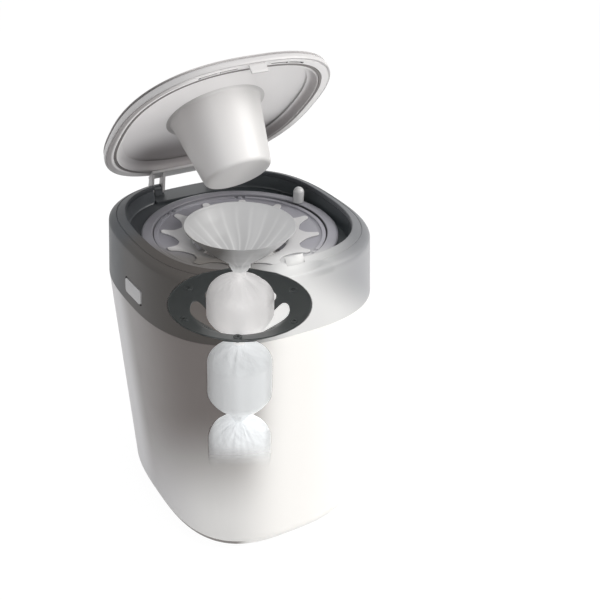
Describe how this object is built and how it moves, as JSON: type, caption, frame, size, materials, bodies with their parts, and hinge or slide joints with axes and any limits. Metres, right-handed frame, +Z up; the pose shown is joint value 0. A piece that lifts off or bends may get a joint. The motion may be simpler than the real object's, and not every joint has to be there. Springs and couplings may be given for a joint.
{
  "type": "nappy bin",
  "caption": "Nappy bin with a tapering tub, a lift-off head with a twist ring and film cassette, a hinged lid with a plunger, and wrapped nappies hanging inside.",
  "frame": {"origin": "centre of the bin's outline on the surface that it stands on", "axes": "+Z up, -Y the front where fingers lift the lid, +X across the bin, along the lid's hinge line"},
  "size_m": [0.2666, 0.286, 0.5353],
  "materials": {
    "tub_white": "satin warm white moulding",
    "collar_grey": "satin blue-grey moulding",
    "slate": "satin dark grey moulding",
    "ring_lavender": "satin lavender-grey moulding",
    "gloss_white": "glossy white moulding",
    "film_white": "thin milky film",
    "lid_white": "satin light grey-white moulding",
    "seal_grey": "soft matt dark grey",
    "button_grey": "satin light grey moulding",
    "steel": "bright drawn steel"
  },
  "bodies": {
    "tub": {"tub": "tub_white"},
    "head": {"collar": "collar_grey", "well_frame": "slate", "cassette_tray": "tub_white", "finger_ring": "slate", "ring_screw_1": "steel", "ring_screw_2": "steel", "ring_screw_3": "steel", "ring_screw_4": "steel", "ring_screw_5": "steel", "ring_screw_6": "steel", "click_pawl": "gloss_white", "hinge_housing": "slate", "hinge_pin_1": "steel", "hinge_pin_2": "steel", "nappy_parcel_top": "film_white", "nappy_parcel_middle": "film_white", "nappy_parcel_bottom": "film_white", "button_spring_left": "steel", "button_spring_right": "steel"},
    "twist": {"twist_ring": "ring_lavender", "turning_post": "gloss_white", "cassette_shell": "ring_lavender", "film_pack": "film_white", "cassette_cover": "ring_lavender", "star_plate": "gloss_white", "film_funnel": "film_white"},
    "lid": {"lid_shell": "lid_white", "lid_liner": "lid_white", "lid_seal": "seal_grey", "plunger": "gloss_white", "lid_catch": "lid_white", "lid_hinge_bracket": "lid_white"},
    "button_left": {"button_left": "button_grey"},
    "button_right": {"button_right": "button_grey"}
  },
  "joints": [
    {"name": "head_lift", "type": "slide", "parent": "tub", "child": "head", "axis": [0, 0, 1], "range_m": [0, 0.15]},
    {"name": "lid_hinge", "type": "hinge", "parent": "head", "child": "lid", "pos_m": [0, 0.1314, 0.343], "axis": [-1, 0, 0], "range_deg": [-44.4, 50.6], "deforming": ["film_funnel"]},
    {"name": "ring_twist", "type": "hinge", "parent": "head", "child": "twist", "pos_m": [0, -0.0064, 0.3343], "axis": [0, 0, 1], "continuous": true},
    {"name": "button_left_press", "type": "slide", "parent": "head", "child": "button_left", "axis": [1, 0, 0], "range_m": [0, 0.004], "stiffness_N_per_m": 600, "springref_m": -0.002, "deforming": ["button_spring_left"]},
    {"name": "button_right_press", "type": "slide", "parent": "head", "child": "button_right", "axis": [-1, 0, 0], "range_m": [0, 0.004], "stiffness_N_per_m": 600, "springref_m": -0.002, "deforming": ["button_spring_right"]}
  ]
}
